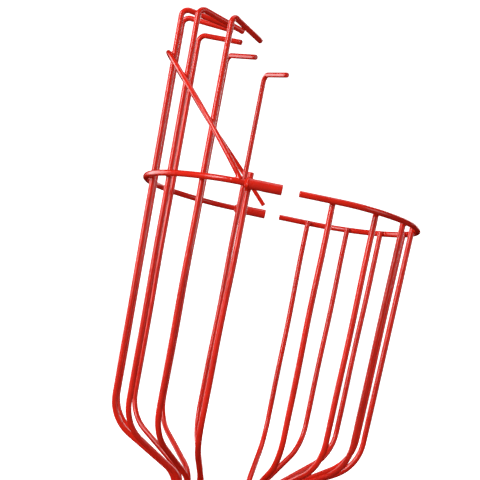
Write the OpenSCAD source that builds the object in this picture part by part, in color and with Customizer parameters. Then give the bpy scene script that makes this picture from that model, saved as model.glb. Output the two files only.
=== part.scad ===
// Two-part wire fruit-picker head.
// The hook half carries the picking fingers, the brace hoop and two sleeves.
// The plain half has two straight rim ends that plug into those sleeves.
// +Z runs up the basket's axis from the pole, +X from the hook half to the plain half.

/* [Rim] */
// Radius of the rim's main curve, to the middle of the wire
rim_r = 76; // [64:1:95]
// Thickness of the rim wire
rim_wire = 3.8; // [3.4:0.1:5.2]
// Radius of the curve that leads into each straight rim end
rim_corner_r = 36; // [26:1:44]
// Height of the rim above the bottom of the neck
rim_height = 248; // [205:1:300]

/* [Plug joints] */
// Wall of each sleeve
sleeve_wall = 0.9; // [0.8:0.1:1.6]
// Gap all round between a rim end and its sleeve
plug_clearance = 0.3; // [0.2:0.05:0.5]
// How far a plain rim end plugs into its sleeve
plug_depth = 13; // [8:0.5:18]
// How far the hook half's own rim end goes into the back of the sleeve
rim_grip = 6.5; // [5:0.5:10]
// Space left between the two rim ends when the halves are closed
plug_end_gap = 1; // [0.5:0.1:2]
// How far a sleeve's mouth stands past the parting line
sleeve_mouth = 6; // [4:0.1:8]
// Length of the weld that closes the back of each sleeve
weld_len = 1.4; // [1:0.1:2]
// How far the end wires stand in from the backs of the sleeves
end_wire_inset = 1.3; // [0.5:0.1:3]
// How far the plain half stands pulled out from its closed place
pulled_out = 23; // [0:1:40]

/* [Uprights] */
// Thickness of the uprights and the fingers
upright_wire = 3.6; // [3:0.1:4.5]
// Angle by which the uprights flare outwards as they rise, in degrees
flare = 2; // [0:0.1:3]
// Rise of the basket's bottom wires above the level, in degrees
bottom_slope = 30; // [20:1:42]
// Radius of the bend at the foot of the basket's wall
foot_bend_r = 27; // [18:1:34]

/* [Neck] */
// Radius of the pole that the neck closes on
pole_r = 16; // [12:0.5:19]
// Wall of the rolled half sockets
socket_wall = 1.5; // [1:0.1:2.5]
// Length of the rolled half sockets
socket_len = 55; // [40:1:70]
// Height at which the neck wires start to bend outwards
neck_len = 60; // [45:1:75]
// Radius of the bend at the top of the neck
neck_bend_r = 17; // [10:1:24]
// Gap between the two half sockets when the halves are closed
parting_gap = 1.2; // [0.6:0.1:3]

/* [Fingers] */
// Height of the middle finger's corner above the rim
finger_middle_rise = 110.5; // [95:0.5:125]
// How much lower than the middle finger's corner the end fingers' corners are
finger_end_drop = 14; // [0:0.5:20]
// Length of each finger's hook, from its corner to its tip
hook_len = 35; // [20:1:42]
// Angle by which the hooks droop below the level, in degrees
hook_droop = 7; // [0:1:15]
// Radius of the bend between a finger and its hook
hook_bend_r = 4.5; // [4:0.5:8]
// Angle by which the rear finger's hook is twisted towards the plain half, in degrees
rear_hook_twist = 13; // [0:1:20]
// Height of the short upright's end above the rim
stub_rise = 7.2; // [5:0.1:12]

/* [Brace hoop] */
// Thickness of the brace hoop's wire
brace_wire = 3; // [3:0.1:4.5]
// How far behind the rim's straight end the front leg stands on the rim
brace_foot_back = 2.8; // [1:0.1:8]
// Height above the rim that the front leg's slope reaches at the back
brace_front_rise = 76.5; // [60:0.5:88]
// Height above the rim that the rear leg's slope reaches at the back
brace_rear_rise = 86; // [60:0.5:88]
// Angle from the back at which the rear leg ends, in degrees
brace_rear_end = 93; // [85:0.5:95]
// Height above the rim at which the rear leg's free end stops
brace_free_rise = 6; // [5:0.5:12]

/* [Hidden] */
$fn = 48;
wires_per_half = 8;
wire_step = 180 / wires_per_half;
// How fast the corners fall away from the middle finger: 1 is evenly, above 1 is late
finger_crown = 1.5;

sleeve_bore = rim_wire + 2 * plug_clearance;
sleeve_d = sleeve_bore + 2 * sleeve_wall;
sleeve_len = rim_grip + plug_end_gap + plug_depth;
sleeve_back = sleeve_mouth - sleeve_len;
// The rim's ends run straight along X from just behind the sleeve's weld
rim_straight = weld_len - sleeve_back + 1;
rim_corner_y = sqrt(pow(rim_r - rim_corner_r, 2) - pow(rim_straight, 2));
rim_end_y = rim_corner_y + rim_corner_r;
rim_main_angle = atan2(rim_corner_y, rim_straight);

// The uprights stand against the inside of the rim
wall_r = rim_r - rim_wire / 2 - upright_wire / 2;
end_wire_x = -sleeve_back - end_wire_inset;
neck_r = pole_r + socket_wall + upright_wire / 2;
neck_corner_z = neck_len + neck_bend_r * tan((90 - bottom_slope) / 2);

// The brace hoop's front leg ends on top of the rim, its rear leg is free
brace_front_x = rim_straight + brace_foot_back;
brace_front_y = rim_corner_y + sqrt(pow(rim_corner_r, 2) - pow(brace_front_x - rim_straight, 2));
brace_front_end = atan2(brace_front_y, brace_front_x);
brace_front_slope = atan((brace_front_rise - rim_wire) * sin(brace_front_end)
    / (1 - cos(brace_front_end)) / norm([brace_front_x, brace_front_y]));
brace_end_rise = rim_wire / 2 + brace_wire / 2 * cos(brace_front_slope) + 0.05;
brace_twist_angle = 40;
brace_rings = 40;
brace_sides = 12;

bead_proud = 0.05;
bead_gap = 0.1;

function unit(v) = v / norm(v);

// Turns a wire's corners, as [distance from axis, height], into steps: a straight
// length, then a turn in degrees (outwards if above 0), the turn's radius and its twist
function corner_turn(p, i) =
    let (u = unit(p[i] - p[i - 1]), v = unit(p[i + 1] - p[i]))
    sign(u[1] * v[0] - u[0] * v[1]) * acos(min(1, u * v));
function corner_cut(p, radii, i) =
    i == 0 || i == len(p) - 1 ? 0 : radii[i - 1] * tan(abs(corner_turn(p, i)) / 2);
function wire_steps(p, radii, last_twist = 0) = [for (i = [1 : len(p) - 1]) [
    norm(p[i] - p[i - 1]) - corner_cut(p, radii, i - 1) - corner_cut(p, radii, i),
    i == len(p) - 1 ? 0 : corner_turn(p, i),
    i == len(p) - 1 ? 0 : radii[i - 1],
    i == len(p) - 2 ? last_twist : 0
]];

// A place on a half rim: [angle from the half's own back, distance from the axis]
function wall_place(i) = [(i - (wires_per_half + 1) / 2) * wire_step, wall_r];
function end_place(side, touch_r) =
    let (y = rim_end_y - touch_r - upright_wire / 2)
    [side * atan2(y, end_wire_x), norm([end_wire_x, y])];
function place(i, touch_r) =
    i == 1 ? end_place(-1, touch_r)
    : i == wires_per_half ? end_place(1, touch_r)
    : wall_place(i);

// Distance from the axis of an upright, at a height above the rim
function flared(r, rise) = r + rise * tan(flare);
// Distance from the axis where the upright's line meets the bottom's slope
function foot_r(r) =
    let (drop = rim_height - neck_corner_z + neck_r * tan(bottom_slope))
    (r - drop * tan(flare)) / (1 - tan(bottom_slope) * tan(flare));
// Corners of an upright in its own upright plane, as [distance from axis, height]
function upright_path(r, rise) = [
    [neck_r, 0],
    [neck_r, neck_corner_z],
    [foot_r(r), neck_corner_z + (foot_r(r) - neck_r) * tan(bottom_slope)],
    [flared(r, rise), rim_height + rise]
];
function finger_path(r, rise) = concat(upright_path(r, rise), [
    [flared(r, rise) - hook_len * cos(hook_droop), rim_height + rise - hook_len * sin(hook_droop)]
]);

// Height of a finger's corner above the rim, on a crown that is highest in the middle
function finger_rise(n) =
    let (off_middle = abs(2 * n / wires_per_half - 1) / (1 - 2 / wires_per_half))
    finger_middle_rise - finger_end_drop * pow(off_middle, finger_crown);

// Brace hoop: a slanted bow round the outside of the fingers
function smooth(t) = let (c = max(0, min(1, t))) c * c * (3 - 2 * c);
function leg_rise(a, top, end, end_rise) =
    end_rise + (top - end_rise) * (cos(a) - cos(end)) / (1 - cos(end));
function brace_rise(a) =
    let (share = smooth((a + brace_twist_angle) / (2 * brace_twist_angle)))
    (1 - share) * leg_rise(a, brace_front_rise, brace_front_end, brace_end_rise)
    + share * leg_rise(a, brace_rear_rise, brace_rear_end, brace_free_rise);
function brace_seat(a) = lookup(a, [
    [-brace_front_end, norm([brace_front_x, brace_front_y]) - (upright_wire + brace_wire) / 2],
    [wall_place(2)[0], wall_r],
    [wall_place(wires_per_half - 1)[0], wall_r],
    [end_place(1, sleeve_d / 2)[0], end_place(1, sleeve_d / 2)[1]],
    [brace_rear_end, rim_end_y - sleeve_d / 2]
]);
function brace_point(a) =
    let (rise = brace_rise(a), r = flared(brace_seat(a), rise) + (upright_wire + brace_wire) / 2)
    [-r * cos(a), r * sin(a), rim_height + rise];

// A round wire that starts up +Z and bends in the XZ plane, one step after another.
// A twist turns the rest of the wire about itself before the bend.
// A bead that stands just proud of the wire joins each straight to its bend.
module bent_wire(steps, d, k = 0) {
    length = steps[k][0];
    turn = steps[k][1];
    r = steps[k][2];
    twist = steps[k][3];
    side = sign(turn);
    from = k > 0 ? bead_gap : 0;
    to = turn != 0 ? length - bead_gap : length;
    if (length > 0)
        translate([0, 0, from])
            linear_extrude(to - from)
                circle(d = d);
    if (turn != 0)
        translate([0, 0, length]) {
            if (length > 0)
                sphere(d = d + 2 * bead_proud);
            rotate([0, 0, twist])
                translate([side * r, 0, 0]) {
                    skip = bead_gap / r * 180 / PI;
                    rotate([0, side * skip, 0])
                        rotate([90, 0, side > 0 ? 180 : 0])
                            rotate_extrude(angle = abs(turn) - 2 * skip)
                                translate([r, 0])
                                    circle(d = d);
                    rotate([0, turn, 0])
                        translate([-side * r, 0, 0]) {
                            sphere(d = d + 2 * bead_proud);
                            bent_wire(steps, d, k + 1);
                        }
                }
        }
}

// Stands a wire at the neck, at an angle from the half's own back
module at_neck(a) {
    rotate([0, 0, 180 - a])
        translate([neck_r, 0, 0])
            children();
}

module upright(where, rise) {
    at_neck(where[0])
        bent_wire(wire_steps(upright_path(where[1], rise), [neck_bend_r, foot_bend_r]), upright_wire);
}

module finger(where, rise, twist) {
    radii = [neck_bend_r, foot_bend_r, hook_bend_r];
    at_neck(where[0])
        bent_wire(wire_steps(finger_path(where[1], rise), radii, twist), upright_wire);
}

// Half a rim on the -X side, its straight ends running to x = end_x
module half_rim(end_x) {
    corner = 90 - rim_main_angle;
    steps = [
        [rim_straight + end_x, corner, rim_corner_r, 0],
        [0, 2 * rim_main_angle, rim_r, 0],
        [0, corner, rim_corner_r, 0],
        [rim_straight + end_x, 0, 0, 0]
    ];
    translate([end_x, -rim_end_y, rim_height])
        rotate([0, -90, 0])
            rotate([0, 0, 90])
                bent_wire(steps, rim_wire);
}

module half_socket() {
    difference() {
        cylinder(h = socket_len, r = pole_r + socket_wall, $fn = 96);
        translate([0, 0, -1])
            cylinder(h = socket_len + 2, r = pole_r, $fn = 96);
        translate([-parting_gap / 2, -50, -1])
            cube([100, 100, socket_len + 2]);
    }
}

// Puts a piece modelled on the -X side onto the plain half, where that half stands
module on_plain_half() {
    translate([pulled_out, 0, 0])
        mirror([1, 0, 0])
            children();
}

module sleeve(side) {
    color("#c41410")
        translate([sleeve_back, side * rim_end_y, rim_height])
            rotate([0, 90, 0])
                difference() {
                    cylinder(h = sleeve_len, d = sleeve_d);
                    translate([0, 0, -1])
                        cylinder(h = sleeve_len + 2, d = sleeve_bore);
                }
}

// Weld metal round the rim wire that closes the back of a sleeve
module sleeve_weld(side) {
    color("#b3120f")
        translate([sleeve_back, side * rim_end_y, rim_height])
            rotate([0, -90, 0])
                rotate_extrude()
                    polygon([
                        [rim_wire / 2, 0],
                        [(sleeve_d + sleeve_bore) / 4, 0],
                        [rim_wire / 2, weld_len]
                    ]);
}

module hook_half_rim() {
    color("#c9170f")
        half_rim(sleeve_back + rim_grip);
}

module short_upright() {
    color("#c9170f")
        upright(place(1, sleeve_d / 2), stub_rise);
}

module hook_finger(n) {
    twist = n == wires_per_half - 1 ? rear_hook_twist : 0;
    color("#c9170f")
        finger(place(n + 1, sleeve_d / 2), finger_rise(n), twist);
}

module brace_hoop() {
    angles = [for (k = [0 : brace_rings])
        -brace_front_end + (brace_rear_end + brace_front_end) * k / brace_rings];
    spine = [for (a = angles) brace_point(a)];
    ring = [for (k = [0 : brace_rings])
        let (
            along = unit(spine[min(brace_rings, k + 1)] - spine[max(0, k - 1)]),
            out = [-cos(angles[k]), sin(angles[k]), 0],
            across = unit(out - (out * along) * along),
            over = cross(along, across)
        )
        for (s = [0 : brace_sides - 1])
            let (t = 360 * s / brace_sides)
            spine[k] + brace_wire / 2 * (cos(t) * across + sin(t) * over)];
    sides = [for (k = [0 : brace_rings - 1]) for (s = [0 : brace_sides - 1])
        let (s2 = (s + 1) % brace_sides, near = k * brace_sides, far = near + brace_sides)
        [near + s, far + s, far + s2, near + s2]];
    first_cap = [for (s = [0 : brace_sides - 1]) s];
    last_cap = [for (s = [0 : brace_sides - 1])
        brace_rings * brace_sides + brace_sides - 1 - s];
    color("#c9170f")
        polyhedron(ring, concat(sides, [first_cap, last_cap]));
}

module hook_half_socket() {
    color("#b3120f")
        half_socket();
}

module plain_half_rim() {
    color("#c9170f")
        on_plain_half()
            half_rim(plug_depth - sleeve_mouth);
}

module plain_upright(n) {
    color("#c9170f")
        on_plain_half()
            upright(place(n, rim_wire / 2), upright_wire / 3);
}

module plain_half_socket() {
    color("#b3120f")
        on_plain_half()
            half_socket();
}

hook_half_rim();
sleeve(-1);  // front_sleeve
sleeve(1);  // rear_sleeve
sleeve_weld(-1);  // front_sleeve_weld
sleeve_weld(1);  // rear_sleeve_weld
short_upright();
for (n = [1 : wires_per_half - 1])
    hook_finger(n);
brace_hoop();
hook_half_socket();
plain_half_rim();
for (n = [1 : wires_per_half])
    plain_upright(n);
plain_half_socket();
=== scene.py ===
"""A red wire fruit-picker head in two halves, pulled apart at the rim.

The sections follow the order in which the head is welded together: the hook half's rim and
sleeves, its uprights and fingers, the brace, the rolled socket at the neck, then the plain half.
"""

import math

import bmesh
import bpy
import numpy as np
from mathutils import Matrix, Vector


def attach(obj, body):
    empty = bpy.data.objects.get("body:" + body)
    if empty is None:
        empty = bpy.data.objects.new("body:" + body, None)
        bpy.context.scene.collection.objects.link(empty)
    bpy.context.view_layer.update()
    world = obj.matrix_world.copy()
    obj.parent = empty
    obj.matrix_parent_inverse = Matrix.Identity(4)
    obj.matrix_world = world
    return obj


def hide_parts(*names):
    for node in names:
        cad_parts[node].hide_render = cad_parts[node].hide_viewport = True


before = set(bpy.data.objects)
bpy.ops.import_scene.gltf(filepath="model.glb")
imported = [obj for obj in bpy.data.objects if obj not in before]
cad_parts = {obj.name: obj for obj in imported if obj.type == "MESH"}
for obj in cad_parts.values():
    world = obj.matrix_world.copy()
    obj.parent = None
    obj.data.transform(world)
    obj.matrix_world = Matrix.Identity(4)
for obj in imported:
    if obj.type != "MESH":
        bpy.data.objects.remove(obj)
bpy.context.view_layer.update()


# ---- Camera ----
# The head is seen level with its uprights and a little from below the rim, and the
# camera leans, so the wires run up to the right. The necks drop out of view below.
camera_place = (-0.0304, -0.7004, 0.1655)
camera_turn, camera_rise, camera_lean = map(math.radians, (-1.684, 4.533, 11.513))

lens = bpy.data.cameras.new("camera")
lens.lens = 83.3
lens.clip_start = 0.02
camera = bpy.data.objects.new("camera", lens)
camera.matrix_world = (
    Matrix.Translation(camera_place)
    @ Matrix.Rotation(camera_turn, 4, "Z")
    @ Matrix.Rotation(math.pi / 2 + camera_rise, 4, "X")
    @ Matrix.Rotation(camera_lean, 4, "Z")
)
bpy.context.scene.collection.objects.link(camera)
bpy.context.scene.camera = camera


# ---- Hook half's rim ----
# A 3.8 mm steel wire bent to half a circle with two straight ends, then powder coated.
# Its ends run into the backs of the sleeves.
rim_height = 0.248
rim_r = 0.076
rim_wire_r = 0.0019
rim_corner_r = 0.036
rim_straight = 0.0169
hook_rim_end = -0.008
rim_corner_y = math.sqrt((rim_r - rim_corner_r) ** 2 - rim_straight**2)
rim_end_y = rim_corner_y + rim_corner_r
rim_main_angle = math.atan2(rim_corner_y, rim_straight)
coat_edge = 0.0004
paint_red = (0.66, 0.0150, 0.0040)
paint_deep = (0.46, 0.0080, 0.0020)
scuffed_red = (0.45, 0.06, 0.05)


def unit(v):
    """Each vector divided by its own length."""
    return v / np.linalg.norm(v, axis=-1, keepdims=True)


def bar(path, radius, reference, sides=28, edge=coat_edge):
    """Rings round a path, for a round bar with cut ends.

    A ring's points are centre + r (cos a across + sin a over). Across is the part of the
    reference direction square to the path, and over is square to both. At a cut end the
    rings close to the middle round a quarter circle of radius edge.
    """
    along = unit(np.gradient(path, axis=0))
    t = np.radians([0, 30, 60, 90])
    inset = np.concatenate([[0], edge * (1 - np.cos(t))])[:, None]
    end_r = np.concatenate([[0], radius - edge + edge * np.sin(t)])
    centre = np.concatenate([path[0] + inset * along[0], path[1:-1], (path[-1] - inset * along[-1])[::-1]])
    along = np.concatenate([np.repeat(along[:1], 5, 0), along[1:-1], np.repeat(along[-1:], 5, 0)])
    r = np.concatenate([end_r, np.full(len(path) - 2, radius), end_r[::-1]])
    across = unit(reference - np.sum(reference * along, -1, keepdims=True) * along)
    over = np.cross(along, across)
    a = np.linspace(0, 2 * np.pi, sides, endpoint=False)[None, :, None]
    return centre[:, None] + r[:, None, None] * (np.cos(a) * across[:, None] + np.sin(a) * over[:, None])


def skin(name, *grids, closed=False):
    """One mesh over some grids of points. Each row of a grid is a ring that closes on
    itself, and with closed the last row joins the first. Points that coincide are merged."""
    points, faces, start = [], [], 0
    for grid in grids:
        rows, columns = grid.shape[:2]
        index = start + np.arange(rows * columns).reshape(rows, columns)
        near, far = (index, np.roll(index, -1, 0)) if closed else (index[:-1], index[1:])
        quads = np.stack([near, np.roll(near, -1, 1), np.roll(far, -1, 1), far], -1)
        points.append(grid.reshape(-1, 3))
        faces.append(quads.reshape(-1, 4))
        start += rows * columns
    mesh = bpy.data.meshes.new(name)
    mesh.from_pydata(np.concatenate(points).tolist(), [], np.concatenate(faces).tolist())
    build = bmesh.new()
    build.from_mesh(mesh)
    bmesh.ops.remove_doubles(build, verts=build.verts, dist=1e-6)
    bmesh.ops.recalc_face_normals(build, faces=build.faces)
    build.to_mesh(mesh)
    build.free()
    mesh.shade_smooth()
    piece = bpy.data.objects.new(name, mesh)
    bpy.context.scene.collection.objects.link(piece)
    return piece


def mark(piece, name, strength):
    """Stores a number from 0 to 1 at each point of the mesh, worked out from where it is."""
    at = np.empty(len(piece.data.vertices) * 3)
    piece.data.vertices.foreach_get("co", at)
    layer = piece.data.attributes.new(name, "FLOAT", "POINT")
    layer.data.foreach_set("value", np.clip(strength(at.reshape(-1, 3)), 0, 1).astype(np.float32))


def arc(centre, radius, start, end, spacing=0.002):
    """Points centre + radius (-cos a, sin a) with a from start to end, the end left out."""
    count = max(2, round(abs(end - start) * radius / spacing))
    a = np.linspace(start, end, count, endpoint=False)[:, None]
    return np.array(centre) + radius * np.hstack([-np.cos(a), np.sin(a)])


def half_rim(end_x):
    """Half a rim on the -X side: a straight end, a corner arc, the main arc about the
    axis, and the same back again, as points on the middle of the wire."""
    straight = np.linspace(end_x, -rim_straight, 18, endpoint=False)[:, None]
    flat = np.concatenate([
        np.hstack([straight, np.full_like(straight, -rim_end_y)]),
        arc((-rim_straight, -rim_corner_y), rim_corner_r, -np.pi / 2, -rim_main_angle),
        arc((0, 0), rim_r, -rim_main_angle, rim_main_angle),
        arc((-rim_straight, rim_corner_y), rim_corner_r, rim_main_angle, np.pi / 2),
        np.hstack([straight[::-1], np.full_like(straight, rim_end_y)]),
    ])
    return np.hstack([flat, np.full((len(flat), 1), rim_height)])


class Socket:
    """A shader node's output. Arithmetic on it adds Math nodes."""

    def __init__(self, shader, output):
        self.shader, self.output = shader, output

    def math(self, operation, *values, clamp=False):
        settings = {"operation": operation, "use_clamp": clamp}
        return self.shader.add("ShaderNodeMath", settings, dict(enumerate(values)))

    def __add__(self, other):
        return self.math("ADD", self, other)

    def __sub__(self, other):
        return self.math("SUBTRACT", self, other)

    def __rsub__(self, other):
        return self.math("SUBTRACT", other, self)

    def __mul__(self, other):
        return self.math("MULTIPLY", self, other)

    def __pow__(self, other):
        return self.math("POWER", self, other)

    __radd__, __rmul__ = __add__, __mul__

    def step(self, low, high):
        """Rises smoothly from 0 at low to 1 at high."""
        settings = {"interpolation_type": "SMOOTHSTEP"}
        return self.shader.add("ShaderNodeMapRange", settings, {0: self, 1: low, 2: high})


class Shader:
    """A material's nodes. add() sets a node's settings, then gives its sockets values or links."""

    def __init__(self, name):
        self.material = bpy.data.materials.new(name)
        self.material.use_nodes = True
        self.tree = self.material.node_tree
        self.tree.nodes.clear()

    def add(self, kind, settings=None, sockets=None, output=0):
        node = self.tree.nodes.new(kind)
        for key, value in (settings or {}).items():
            setattr(node, key, value)
        for key, value in (sockets or {}).items():
            if isinstance(value, Socket):
                self.tree.links.new(value.output, node.inputs[key])
            else:
                node.inputs[key].default_value = value
        return Socket(self, node.outputs[output]) if node.outputs else None

    def noise(self, where, scale, detail=2):
        return self.add("ShaderNodeTexNoise", None, {"Vector": where, "Scale": scale, "Detail": detail})

    def mix(self, factor, first, second):
        sockets = {0: factor, 6: first, 7: second}
        return self.add("ShaderNodeMix", {"data_type": "RGBA", "clamp_factor": True}, sockets, 2)


def powder_coat(name, peel=1.0, gloss=0.2, drift=1.0):
    """Gloss powder coat on steel: fine orange peel, clouds where the coat is thicker and
    so deeper in colour, a few nibs of dust, and scuffs where the mesh is marked as worn."""
    shader = Shader(name)
    where = shader.add("ShaderNodeTexCoord", output="Object")
    cloud = shader.noise(where, 60)
    fine_cloud = shader.noise(where, 420, 3)
    depth = (cloud.step(0.3, 0.75) * 0.55 + fine_cloud.step(0.35, 0.8) * 0.3) * drift
    worn = shader.add("ShaderNodeAttribute", {"attribute_name": "worn"}, output="Fac")
    rubbed = (worn + shader.noise(where, 900, 4) - 1.1).step(0.0, 0.4)
    colour = shader.mix(depth, (*paint_red, 1), (*paint_deep, 1))
    colour = shader.mix(rubbed * 0.5, colour, (*scuffed_red, 1))
    nibs = shader.add("ShaderNodeTexVoronoi", None, {"Vector": where, "Scale": 260.0})
    nib = 1 - nibs.step(0.03, 0.12)
    height = shader.noise(where, 900, 1) * (0.00002 * peel) + nib * 0.00002 - rubbed * 0.00001
    bump = shader.add("ShaderNodeBump", None, {"Strength": 0.5, "Distance": 1.0, "Height": height})
    roughness = gloss + fine_cloud * 0.08 + rubbed * 0.3
    surface = shader.add("ShaderNodeBsdfPrincipled", None, {
        "Base Color": colour, "Roughness": roughness, "Normal": bump,
        "Specular IOR Level": 0.4, "Coat Weight": 0.2, "Coat Roughness": 0.08,
    })
    shader.add("ShaderNodeOutputMaterial", None, {"Surface": surface})
    return shader.material


def fit(piece, finish, slot, body, *nodes):
    """Gives a piece its finish, hangs it on its body's empty, and hides the imported parts that it stands
    for.
    """
    piece.data.materials.append(finish)
    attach(piece, body)
    if nodes:
        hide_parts(*nodes)


rim_coat = powder_coat("rim powder coat")
up = np.array([0.0, 0.0, 1.0])
hook_rim = skin("hook_rim_bar", bar(half_rim(hook_rim_end), rim_wire_r, up))
fit(hook_rim, rim_coat, "rim_coat", "hook_half", "hook_half_rim")


# ---- Sleeves ----
# Two short steel tubes, cut square with the edges eased, that take the plain half's rods.
# Heat from the welds and a thick coat leave their outsides slightly uneven.
sleeve_r = 0.0031
sleeve_bore_r = 0.0022
sleeve_mouth = 0.006
sleeve_length = 0.0205
sleeve_back = sleeve_mouth - sleeve_length
sleeve_lip = 0.00035


def ripple(at, size, seed, waves=7):
    """A soft random height between about -1 and 1, the mean of some sine waves whose
    directions are drawn at random and whose length is about the size given."""
    draw = np.random.default_rng(seed)
    directions = unit(draw.normal(size=(waves, 3))) * 2 * np.pi / size
    phase = draw.uniform(0, 2 * np.pi, waves)
    return np.sin(at @ directions.T + phase).mean(-1) * 1.6


def revolve(profile, y, sides=48):
    """A closed profile of (x, radius) points carried round a line along X at the rim's end."""
    a = np.linspace(0, 2 * np.pi, sides, endpoint=False)
    x, r = profile[:, 0, None], profile[:, 1, None]
    return np.stack([x + 0 * a, y + r * np.cos(a), rim_height + r * np.sin(a)], -1)


def tube_profile(start, end, outer, inner, lip, rows=40):
    """The outside from start to end, a rounded lip, the bore back again and a second lip.
    A lip is half an ellipse across the wall, lip deep."""
    middle, half_wall = (outer + inner) / 2, (outer - inner) / 2
    run = np.linspace(start + lip, end - lip, rows)
    t = np.linspace(0, np.pi, 12)[1:-1]
    mouth = np.stack([end - lip + lip * np.sin(t) ** 0.5, middle + half_wall * np.cos(t)], -1)
    back = np.stack([start + lip - lip * np.sin(t) ** 0.5, middle - half_wall * np.cos(t)], -1)
    outside = np.stack([run, np.full(rows, outer)], -1)
    inside = np.stack([run[::-1], np.full(rows, inner)], -1)
    return np.concatenate([outside, mouth, inside, back])


def sleeve(side, seed):
    """The tube's grid, with its outside lifted by ripples that fade towards the bore."""
    profile = tube_profile(sleeve_back, sleeve_mouth, sleeve_r, sleeve_bore_r, sleeve_lip)
    grid = revolve(profile, side * rim_end_y)
    axis = np.array([0, side * rim_end_y, rim_height])
    out = unit((grid - axis) * [0, 1, 1])
    share = np.clip((profile[:, 1] - sleeve_bore_r) / (sleeve_r - sleeve_bore_r), 0, 1)[:, None, None]
    return grid + out * share * 0.00007 * ripple(grid, 0.006, seed)[..., None]


sleeve_coat = powder_coat("sleeve powder coat", peel=1.4, gloss=0.24)
for side, place in ((-1, "front"), (1, "rear")):
    tube = skin(f"{place}_sleeve_tube", sleeve(side, 4 + side), closed=True)
    mark(tube, "worn", lambda at: 1 - (sleeve_mouth - at[:, 0]) / 0.0012)
    fit(tube, sleeve_coat, "sleeve_coat", "hook_half", f"{place}_sleeve")


# ---- Sleeve welds ----
# A ring of weld metal closes the back of each sleeve round the rim wire. It is laid by
# hand, so it stands up in lumps, and the coat over it is thick and very glossy.
weld_length = 0.0016
weld_over_sleeve = 0.0012


def sleeve_weld(side, seed):
    """A ring whose profile is half an ellipse from the rim wire up onto the sleeve, raised
    by ripples of about 2 mm."""
    t = np.linspace(0, np.pi, 20)
    x = sleeve_back + weld_over_sleeve - (weld_over_sleeve + weld_length) * (1 - np.cos(t)) / 2
    low = np.interp(x, [sleeve_back - weld_length, sleeve_back], [rim_wire_r, sleeve_r])
    outside = np.stack([x, low - 0.00008 + 0.0004 * np.sin(t)], -1)
    inside = np.stack([x[::-1], np.full(20, rim_wire_r - 0.0003)], -1)
    profile = np.concatenate([outside, inside[1:-1]])
    grid = revolve(profile, side * rim_end_y)
    out = unit((grid - [0, side * rim_end_y, rim_height]) * [0, 1, 1])
    raised = np.concatenate([np.sin(t), np.zeros(18)])[:, None, None]
    return grid + out * raised * 0.00035 * ripple(grid, 0.0032, seed)[..., None]


weld_coat = powder_coat("weld powder coat", peel=0.6, gloss=0.14, drift=0.6)
for side, place in ((-1, "front"), (1, "rear")):
    ring = skin(f"{place}_sleeve_weld_ring", sleeve_weld(side, 12 + side), closed=True)
    fit(ring, weld_coat, "weld_coat", "hook_half", f"{place}_sleeve_weld")


# ---- Short upright and fingers ----
# Eight 3.6 mm wires rise from the neck, slope out under the fruit and stand up inside the
# rim. The front one stops above the sleeve. The others go on up as fingers, and each top
# is bent over towards the middle as a picking hook.
wires_per_half = 8
wire_step = math.pi / wires_per_half
wire_r = 0.0018
wall_r = rim_r - rim_wire_r - wire_r
flare = math.radians(2)
bottom_slope = math.radians(30)
foot_bend_r = 0.027
neck_bend_r = 0.017
neck_r = 0.0193
neck_length = 0.060
neck_corner_z = neck_length + neck_bend_r * math.tan((math.pi / 2 - bottom_slope) / 2)
end_wire_x = -sleeve_back - 0.0013
stub_rise = 0.0072
# The fingers' corners lie on a crown. Each is lower than the middle one by the end drop
# times its share of the way out to an end finger, raised to the crown's power.
finger_middle_rise, finger_end_drop, finger_crown = 0.1105, 0.014, 1.5
off_middle = np.abs(np.linspace(-1, 1, wires_per_half - 1))
finger_rise = finger_middle_rise - finger_end_drop * off_middle**finger_crown
hook_length = 0.035
hook_droop = math.radians(7)
hook_bend_r = 0.0045
rear_hook_twist = math.radians(13)
bow = 0.0003
hook_side, plain_side = (-1, 0.0), (1, 0.023)


def upright_place(number, touch_r):
    """Where a wire stands: its angle from the half's back, and its distance from the axis
    at the rim. The end wires touch a straight end of the rim that has the radius given."""
    if number in (1, wires_per_half):
        y = rim_end_y - touch_r - wire_r
        return (1 if number > 1 else -1) * math.atan2(y, end_wire_x), math.hypot(end_wire_x, y)
    return (number - (wires_per_half + 1) / 2) * wire_step, wall_r


def upright_corners(r, rise):
    """Corners in the wire's own plane, as (distance from the axis, sideways, height)."""
    drop = rim_height - neck_corner_z + neck_r * math.tan(bottom_slope)
    foot_r = (r - drop * math.tan(flare)) / (1 - math.tan(bottom_slope) * math.tan(flare))
    foot_z = neck_corner_z + (foot_r - neck_r) * math.tan(bottom_slope)
    top = (r + rise * math.tan(flare), 0, rim_height + rise)
    return np.array([(neck_r, 0, 0), (neck_r, 0, neck_corner_z), (foot_r, 0, foot_z), top])


def finger_corners(r, rise, twist):
    """An upright's corners and the tip of its hook. The hook leans down from square to the
    axis, and is turned by the twist about the wire itself."""
    corners = upright_corners(r, rise)
    hook = Vector((-math.cos(hook_droop), 0, -math.sin(hook_droop))) * hook_length
    wire = Vector((math.sin(flare), 0, math.cos(flare)))
    return np.vstack([corners, corners[-1] + np.array(Matrix.Rotation(twist, 3, wire) @ hook)])


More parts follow.
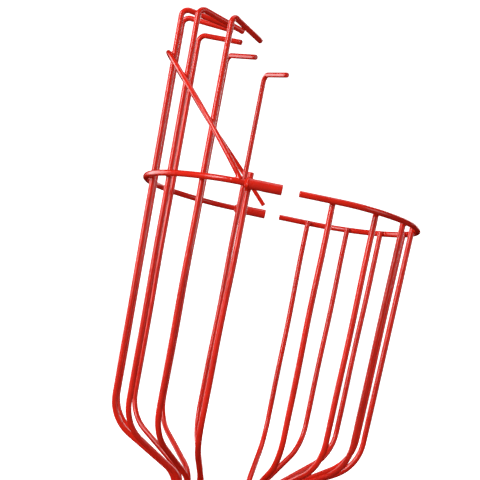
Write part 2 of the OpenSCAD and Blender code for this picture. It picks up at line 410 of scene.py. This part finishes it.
def bent(corners, radii, spacing=0.003):
    """Points along straight runs joined by arcs.

    With u and v the directions into and out of a corner and t the turn between them, the
    arc starts r tan(t/2) before the corner and runs through start + r sin(a) u
    + r (1 - cos(a)) n for a from 0 to t, where n is the part of v square to u.
    """
    leg = unit(np.diff(corners, axis=0))
    runs, last = [], corners[0]
    for corner, u, v, r in zip(corners[1:-1], leg, leg[1:], radii):
        turn = math.acos(u @ v)
        start = corner - u * r * math.tan(turn / 2)
        count = max(2, round(np.linalg.norm(start - last) / spacing))
        runs.append(last + (start - last) * np.linspace(0, 1, count, endpoint=False)[:, None])
        a = np.linspace(0, turn, max(6, round(turn / math.radians(5))))[:, None]
        arc_points = start + r * np.sin(a) * u + r * (1 - np.cos(a)) * unit(v - (u @ v) * u)
        runs.append(arc_points[:-1])
        last = arc_points[-1]
    count = max(2, round(np.linalg.norm(corners[-1] - last) / spacing))
    return np.concatenate([*runs, last + (corners[-1] - last) * np.linspace(0, 1, count)[:, None]])


def stand(points, angle, half):
    """Turns (distance from the axis, sideways, height) into the frame, at an angle from the
    back of a half. A half is its side of the middle and how far it stands pulled out."""
    sign, shift = half
    r, s, z = np.moveaxis(points, -1, 0)
    x = sign * (r * math.cos(angle) + s * math.sin(angle))
    return np.stack([x + shift, r * math.sin(angle) - s * math.cos(angle), z], -1)


def hand_bow(path, seed):
    """A slight sideways bow, bow sin(pi t) sin(2 pi t + phase), where t runs from 0 at the
    foot to 1 at the rim. It is nothing at either, so each wire still meets its rim."""
    t = np.clip((path[:, 2] - 0.125) / (rim_height - 0.125), 0, 1)
    phase = np.random.default_rng(seed).uniform(0, 2 * np.pi)
    moved = path.copy()
    moved[:, 1] += bow * np.sin(np.pi * t) * np.sin(2 * np.pi * t + phase)
    return moved


def standing_wire(corners, radii, angle, half, seed):
    """The grid of one bent wire, with across taken square to its own plane."""
    square = stand(np.array([0.0, 1.0, 0.0]), angle, (half[0], 0))
    return bar(stand(hand_bow(bent(corners, radii), seed), angle, half), wire_r, square)


wire_coat = powder_coat("wire powder coat")
angle, r = upright_place(1, sleeve_r)
stub = skin("short_upright_bar", standing_wire(
    upright_corners(r, stub_rise), (neck_bend_r, foot_bend_r), angle, hook_side, 1))
fit(stub, wire_coat, "wire_coat", "hook_half", "short_upright")
for number, rise in enumerate(finger_rise, 1):
    angle, r = upright_place(number + 1, sleeve_r)
    corners = finger_corners(r, rise, rear_hook_twist if number == wires_per_half - 1 else 0)
    tip = stand(corners[-1], angle, hook_side)
    radii = (neck_bend_r, foot_bend_r, hook_bend_r)
    finger = skin(f"finger_{number}_bar", standing_wire(corners, radii, angle, hook_side, number + 1))
    mark(finger, "worn", lambda at: 0.7 - np.linalg.norm(at - tip, axis=1) / 0.004)
    fit(finger, wire_coat, "wire_coat", "hook_half", f"finger_{number}")


# ---- Brace hoop ----
# One 3 mm wire bowed round the outside of the fingers on a slant. Its front leg comes down
# onto the rim and is welded there. Its rear leg ends free, just over the rear sleeve.
brace_wire_r = 0.0015
brace_front_rise, brace_rear_rise, brace_free_rise = 0.0765, 0.086, 0.006
brace_rear_end = math.radians(93)
brace_front_x = rim_straight + 0.0028
brace_front_y = rim_corner_y + math.sqrt(rim_corner_r**2 - (brace_front_x - rim_straight) ** 2)
brace_front_end = math.atan2(brace_front_y, brace_front_x)
brace_front_slope = math.atan(
    (brace_front_rise - 2 * rim_wire_r) * math.sin(brace_front_end)
    / (1 - math.cos(brace_front_end)) / math.hypot(brace_front_x, brace_front_y))
brace_end_rise = rim_wire_r + brace_wire_r * math.cos(brace_front_slope) + 0.00005
brace_twist = math.radians(40)
brace_gap = wire_r + brace_wire_r
sleeve_place = upright_place(wires_per_half, sleeve_r)
brace_seats = np.array([
    (-brace_front_end, math.hypot(brace_front_x, brace_front_y) - brace_gap),
    (upright_place(2, 0)[0], wall_r),
    (upright_place(wires_per_half - 1, 0)[0], wall_r),
    sleeve_place,
    (brace_rear_end, rim_end_y - sleeve_r),
])


def brace_rise(a):
    """Each leg's height above the rim falls with the cosine of the angle, from its top at
    the back to its end. Near the back a smooth step turns the one leg into the other."""
    t = np.clip((a + brace_twist) / (2 * brace_twist), 0, 1)
    share = t * t * (3 - 2 * t)

    def leg(top, end, low):
        return low + (top - low) * (np.cos(a) - math.cos(end)) / (1 - math.cos(end))

    front = leg(brace_front_rise, brace_front_end, brace_end_rise)
    rear = leg(brace_rear_rise, brace_rear_end, brace_free_rise)
    return (1 - share) * front + share * rear


def brace_point(a):
    """The middle of the brace at angles from the back, resting against the fingers."""
    rise = brace_rise(a)
    r = np.interp(a, *brace_seats.T) + rise * math.tan(flare) + brace_gap
    return np.stack([-r * np.cos(a), r * np.sin(a), rim_height + rise], -1)


brace_coat = powder_coat("brace powder coat")
brace_sunk = 0.0015 * math.cos(brace_front_slope) / math.hypot(brace_front_x, brace_front_y)
brace_angles = np.linspace(-brace_front_end - brace_sunk, brace_rear_end, 150)
brace = skin("brace_bar", bar(brace_point(brace_angles), brace_wire_r, up))
fit(brace, brace_coat, "brace_coat", "hook_half", "brace_hoop")


# ---- Rolled sockets ----
# Two pieces of 1.5 mm sheet rolled to half circles, one in each bundle of neck wires,
# which close on the pole. The coat rounds the sheared edges.
pole_r = 0.016
socket_wall = 0.0015
socket_length = 0.055
parting_gap = 0.0012
sheet_edge = 0.0005


def socket_section(inset, half, z):
    """The sheet's outline at one height: the outer arc, a parting edge, the inner arc and
    the other edge, all moved in by the inset. Each edge is half an ellipse."""
    middle, half_wall = pole_r + socket_wall / 2, socket_wall / 2 - inset
    reach = math.acos(parting_gap / 2 / middle) - inset / middle
    a = np.linspace(-reach, reach, 60)
    t = np.linspace(0, np.pi, 9)[1:-1]
    bulge = sheet_edge * np.sin(t) / middle * half_wall / (socket_wall / 2)
    edge_r = middle + half_wall * np.cos(t)
    edge_at = reach + bulge - sheet_edge / middle
    at = np.concatenate([a, edge_at, a[::-1], -edge_at])
    outer, inner = np.full(60, middle + half_wall), np.full(60, middle - half_wall)
    r = np.concatenate([outer, edge_r, inner, edge_r[::-1]])
    sign, shift = half
    return np.stack([sign * r * np.cos(at) + shift, r * np.sin(at), np.full(len(r), z)], -1)


def rolled_socket(half):
    """Sections carried up the pole, with the inset falling to 0 round each end's edge."""
    t = np.radians([0, 0, 30, 60, 90])
    inset = np.array([socket_wall / 2, *(sheet_edge * (1 - np.sin(t[1:])))])
    rise = sheet_edge * (1 - np.cos(t))
    wall_heights = np.linspace(0.003, socket_length - 0.003, 12)
    heights = np.concatenate([rise, wall_heights, socket_length - rise[::-1]])
    insets = np.concatenate([inset, np.zeros(12), inset[::-1]])
    return np.stack([socket_section(i, half, z) for i, z in zip(insets, heights)])


socket_coat = powder_coat("socket powder coat", peel=1.2, gloss=0.26, drift=1.2)
for half, place in ((hook_side, "hook_half"), (plain_side, "plain_half")):
    socket = skin(f"{place}_socket_sheet", rolled_socket(half))
    mark(socket, "worn", lambda at: 0.75 - np.minimum(at[:, 2], socket_length - at[:, 2]) / 0.0015)
    fit(socket, socket_coat, "socket_coat", place, f"{place}_socket")


# ---- Plain half's rim and uprights ----
# The same half rim, but its straight ends run on as rods that plug into the sleeves. Eight
# uprights stop level with the top of the rim.
plain_rim_end = 0.007
plain_rise = 0.0012


def across(points):
    """Moves points from the hook half's side to where the plain half stands."""
    return points * [plain_side[0] * -1, 1, 1] + [plain_side[1], 0, 0]


plain_rim = skin("plain_rim_bar", bar(across(half_rim(plain_rim_end)), rim_wire_r, up))
rod_tip_x = plain_side[1] - plain_rim_end
mark(plain_rim, "worn", lambda at: 0.6 - (at[:, 0] - rod_tip_x) / 0.004)
fit(plain_rim, rim_coat, "rim_coat", "plain_half", "plain_half_rim")
for number in range(1, wires_per_half + 1):
    angle, r = upright_place(number, rim_wire_r)
    wire = skin(f"plain_upright_{number}_bar", standing_wire(
        upright_corners(r, plain_rise), (neck_bend_r, foot_bend_r), angle, plain_side, 20 + number))
    fit(wire, wire_coat, "wire_coat", "plain_half", f"plain_upright_{number}")


# ---- Welds ----
# Every crossing is spot welded, so a little metal fills the corner between the two wires,
# and the coat pools there. The neck wires are tacked to their socket at the top and foot.
def cylinder(at, start, end, radius, bore=0.0):
    """Distance from a round bar or tube, below 0 inside its metal: the greatest of how far
    a point is outside it, inside its bore, and past an end."""
    axis = unit(end - start)
    along = (at - start) @ axis
    out = np.linalg.norm(at - start - along[..., None] * axis, axis=-1)
    length = np.linalg.norm(end - start)
    return np.maximum.reduce([out - radius, bore - out, -along, along - length])


def weld(centre, bars, reach, blend, lumps, seed, stretch=(1, 1, 1), rows=34, columns=48):
    """A lump of weld metal, as a grid of rays from centre.

    Each bar's distance d is joined to the others' as -k log(sum exp(-d / k)), which fills
    the corners between them. The blend k fades to nothing at reach, the ripples that make
    lumps fade with it, and the metal sinks a little into the bars, so that its edge is
    hidden. A ray ends where it first leaves that metal.
    """
    polar = np.linspace(0, np.pi, rows)[:, None]
    turn = np.linspace(0, 2 * np.pi, columns, endpoint=False)[None, :]
    ray = np.stack([np.sin(polar) * np.cos(turn), np.sin(polar) * np.sin(turn), np.cos(polar) + 0 * turn], -1)
    ray = ray * np.array(stretch)
    t = np.linspace(0, reach, 40)
    at = centre + ray[:, :, None] * t[:, None]
    k = blend * np.maximum(1 - (t / reach) ** 2, 0.02)
    sunk = 0.00003 + 0.0003 * (t / reach) ** 3
    near = np.stack([cylinder(at, *b) + sunk for b in bars])
    field = -k * np.log(np.exp(np.clip(-near / k, -60, 60)).sum(0))
    field = field - lumps * (0.5 + 0.5 * ripple(at, 0.0026, seed)) * (1 - t / reach) ** 2
    outside = field > 0
    first = np.where(outside.any(-1), outside.argmax(-1), len(t) - 1)
    before = np.take_along_axis(field, np.maximum(first - 1, 0)[..., None], -1)[..., 0]
    after = np.take_along_axis(field, first[..., None], -1)[..., 0]
    share = np.where(after > 0, before / np.minimum(before - after, -1e-12), 1)
    length = t[np.maximum(first - 1, 0)] + np.clip(share, 0, 1) * (t[1] - t[0])
    return centre + ray * length[..., None]


def upright_bar(number, touch_r, half, top):
    """A standing wire's straight part through the rim, from 30 mm below it up to top."""
    angle, r = upright_place(number, touch_r)
    line = [(r + rise * math.tan(flare), 0, rim_height + rise) for rise in (-0.03, top)]
    return (*stand(np.array(line), angle, half), wire_r)


def rim_bar(number, touch_r, half):
    """The rim at a standing wire, taken as straight, and the point where the two touch. An
    end wire stands inside a straight end, which runs along X. At any other wire the rim
    runs square to the wire's own plane."""
    angle, r = upright_place(number, touch_r)
    if number in (1, wires_per_half):
        y = math.copysign(rim_end_y, angle)
        flat = np.array([(end_wire_x, y - math.copysign(touch_r, angle)),
                         (end_wire_x - 0.012, y), (end_wire_x + 0.012, y)])
        points = np.hstack([flat * [half[0], 1] + [half[1], 0], np.full((3, 1), rim_height)])
    else:
        out = r + wire_r
        points = stand(np.array([(out, 0, rim_height), (out + rim_wire_r, -0.012, rim_height),
                                 (out + rim_wire_r, 0.012, rim_height)]), angle, half)
    return points[0], (points[1], points[2], rim_wire_r)


def sleeve_bars(side):
    """A sleeve, and the rim wire that comes out of its back."""
    line = np.array([(x, side * rim_end_y, rim_height) for x in (sleeve_mouth, sleeve_back, -0.03)])
    return [(line[0], line[1], sleeve_r, sleeve_bore_r), (line[1], line[2], rim_wire_r)]


# Each kind of weld's reach, the blend at its middle and the height of its lumps
front_sleeve_metal = (0.0075, 0.0009, 0.0014)
rear_sleeve_metal = (0.006, 0.0008, 0.0006)
rim_metal = (0.0046, 0.0006, 0.0003)
brace_metal = (0.0036, 0.0005, 0.00025)
brace_foot_metal = (0.0055, 0.0006, 0.0003)
tack_metal = (0.0022, 0.0004, 0.0002)
foot = brace_point(np.array([-brace_front_end - brace_sunk, -brace_front_end + 0.08]))
foot_bar = (foot[0], foot[1], brace_wire_r)
hook_welds = []
for number in range(1, wires_per_half + 1):
    touch, rim = rim_bar(number, sleeve_r, hook_side)
    upright = upright_bar(number, sleeve_r, hook_side, 0.007)
    if number == 1:
        bars = [*sleeve_bars(-1), foot_bar, upright]
        hook_welds.append(weld(touch, bars, *front_sleeve_metal, 31, rows=52, columns=72))
    elif number == wires_per_half:
        hook_welds.append(weld(touch, [*sleeve_bars(1), upright], *rear_sleeve_metal, 48))
    else:
        hook_welds.append(weld(touch, [rim, upright], *rim_metal, 40 + number))
rim_welds = skin("hook_half_rim_welds", *hook_welds)
fit(rim_welds, weld_coat, "weld_coat", "hook_half")

plain_welds = []
for number in range(1, wires_per_half + 1):
    touch, rim = rim_bar(number, rim_wire_r, plain_side)
    bars = [rim, upright_bar(number, rim_wire_r, plain_side, plain_rise)]
    plain_welds.append(weld(touch, bars, *rim_metal, 60 + number))
rim_welds = skin("plain_half_rim_welds", *plain_welds)
fit(rim_welds, weld_coat, "weld_coat", "plain_half")

brace_welds = []
for number in range(2, wires_per_half + 1):
    angle, r = upright_place(number, sleeve_r)
    near = brace_point(np.array([angle - 0.06, angle, angle + 0.06]))
    rise = near[1, 2] - rim_height
    seat = r + rise * math.tan(flare)
    line = np.array([(seat + dz * math.tan(flare), 0, near[1, 2] + dz) for dz in (-0.02, 0.02)])
    touch = stand(np.array([seat + wire_r, 0, near[1, 2]]), angle, hook_side)
    bars = [(*stand(line, angle, hook_side), wire_r), (near[0], near[2], brace_wire_r)]
    brace_welds.append(weld(touch, bars, *brace_metal, 80 + number))
foot_rim = np.array([(-brace_front_x - 0.012, -brace_front_y, rim_height),
                     (-brace_front_x + 0.012, -brace_front_y, rim_height)])
foot_touch = np.array([-brace_front_x, -brace_front_y, rim_height + rim_wire_r])
brace_welds.append(weld(foot_touch, [(*foot_rim, rim_wire_r), foot_bar], *brace_foot_metal, 95))
brace_weld = skin("brace_welds", *brace_welds)
fit(brace_weld, weld_coat, "weld_coat", "hook_half")

tack_heights = (0.009, 0.047)
for half, place in ((hook_side, "hook_half"), (plain_side, "plain_half")):
    tacks = []
    roll = (np.array([half[1], 0, 0]), np.array([half[1], 0, socket_length]),
            pole_r + socket_wall, pole_r)
    for number in range(1, wires_per_half + 1):
        angle, _ = upright_place(number, sleeve_r if half is hook_side else rim_wire_r)
        wire = (*stand(np.array([(neck_r, 0, 0), (neck_r, 0, neck_length)]), angle, half), wire_r)
        for height in tack_heights:
            touch = stand(np.array([neck_r - wire_r, 0, height]), angle, half)
            seed = number + round(height * 1000)
            tacks.append(weld(touch, [roll, wire], *tack_metal, seed, (1, 1, 2.6), 20, 24))
    tack = skin(f"{place}_socket_welds", *tacks)
    fit(tack, weld_coat, "weld_coat", place)


# ---- Floor, backdrop and light ----
# A pale paper floor that runs on into a white backdrop. A large soft light stands high on
# the left in front, one behind on the left edges the wires, and weak ones fill the rest.
def paper(name, near_glow, far_glow):
    """Matt white paper whose glow rises with the distance from the head, from 0.3 to 1.3 m,
    so that the floor is as bright as the backdrop where the lamps no longer reach it."""
    shader = Shader(name)
    where = shader.add("ShaderNodeTexCoord", output="Object")
    away = shader.add("ShaderNodeVectorMath", {"operation": "LENGTH"}, {0: where}, "Value")
    grey = shader.noise(where, 400) * 0.02
    glow = shader.mix(away.step(0.3, 1.3), (near_glow,) * 3 + (1,), (far_glow,) * 3 + (1,))
    colour = shader.mix(grey, (0.9, 0.9, 0.9, 1), (0.7, 0.7, 0.7, 1))
    surface = shader.add("ShaderNodeBsdfPrincipled", None, {
        "Base Color": colour, "Roughness": 0.9, "Emission Color": glow, "Emission Strength": 1.0})
    shader.add("ShaderNodeOutputMaterial", None, {"Surface": surface})
    return shader.material


def dome(radius, low, high, rows, columns=64):
    """Rings of radius r cos(e) at height r sin(e), for e from low to high."""
    e = np.linspace(low, high, rows)[:, None]
    a = np.linspace(0, 2 * np.pi, columns, endpoint=False)[None, :]
    return radius * np.stack([np.cos(e) * np.cos(a), np.cos(e) * np.sin(a), np.sin(e) + 0 * a], -1)


floor = skin("floor", dome(6.0, -math.pi / 2, 0, 24) * [1, 1, 0] - [0, 0, 0.0005])
floor.data.materials.append(paper("floor paper", 0.34, 0.9))
backdrop = skin("backdrop", dome(6.0, -0.002, math.pi / 2, 24))
backdrop.data.materials.append(paper("backdrop paper", 1.0, 1.0))
for sheet in (floor, backdrop):
    sheet.visible_glossy = sheet.visible_diffuse = sheet.visible_shadow = False

world = bpy.data.worlds.new("surround")
world.use_nodes = True
world.node_tree.nodes["Background"].inputs["Color"].default_value = (1, 1, 1, 1)
world.node_tree.nodes["Background"].inputs["Strength"].default_value = 0.39
world.cycles_visibility.glossy = False
bpy.context.scene.world = world


def soft_light(name, at, size, power, aim=(0, 0, 0.22)):
    lamp = bpy.data.lights.new(name, "AREA")
    lamp.shape = "RECTANGLE"
    lamp.size, lamp.size_y = size
    lamp.energy = power
    light = bpy.data.objects.new(name, lamp)
    light.location = at
    light.rotation_euler = (Vector(aim) - Vector(at)).to_track_quat("-Z", "Y").to_euler()
    bpy.context.scene.collection.objects.link(light)


soft_light("key light", (-1.3, -1.25, 0.8), (0.7, 1.3), 37)
soft_light("fill light", (1.7, -0.7, 0.6), (0.8, 1.0), 5)
soft_light("top light", (0.1, 0.1, 1.8), (1.2, 1.2), 6)
soft_light("edge light", (-1.5, 1.0, 0.35), (1.2, 1.4), 17)
soft_light("back light", (0.9, 1.5, 0.9), (0.9, 1.2), 13)

bpy.context.scene.view_settings.view_transform = "Standard"
